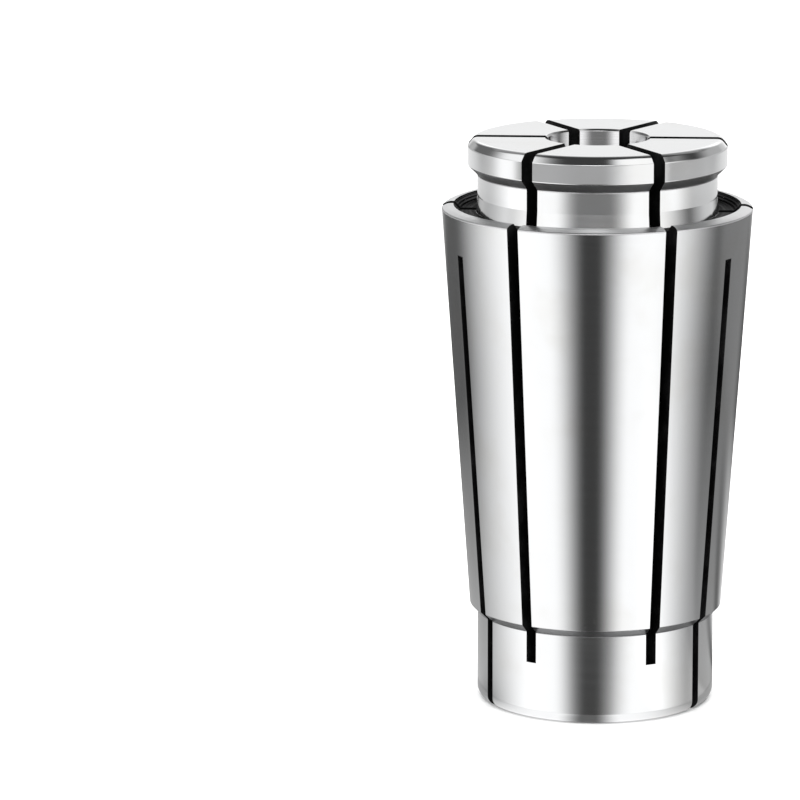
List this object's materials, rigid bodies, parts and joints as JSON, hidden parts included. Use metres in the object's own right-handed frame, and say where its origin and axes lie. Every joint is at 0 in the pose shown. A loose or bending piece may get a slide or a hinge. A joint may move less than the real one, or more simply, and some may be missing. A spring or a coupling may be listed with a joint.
{
  "type": "spring collet",
  "caption": "Slim slotted steel spring collet: long shallow taper, plain tail and grooved head, gripping a round tool shank in its bore when a nut presses it into a chuck.",
  "frame": {"origin": "centre of the tail's end face, on the collet's axis", "axes": "+Z along the collet's axis, from the tail to the nose, the way the tool leaves; -Y through the middle of a nose leaf, halfway between two nose slots and opposite one tail slot"},
  "size_m": [0.0244, 0.0244, 0.0452],
  "materials": {
    "steel": "hardened and finely ground, bright, with plain sawn slot walls"
  },
  "bodies": {
    "root": {"collet": "steel"}
  },
  "joints": []
}
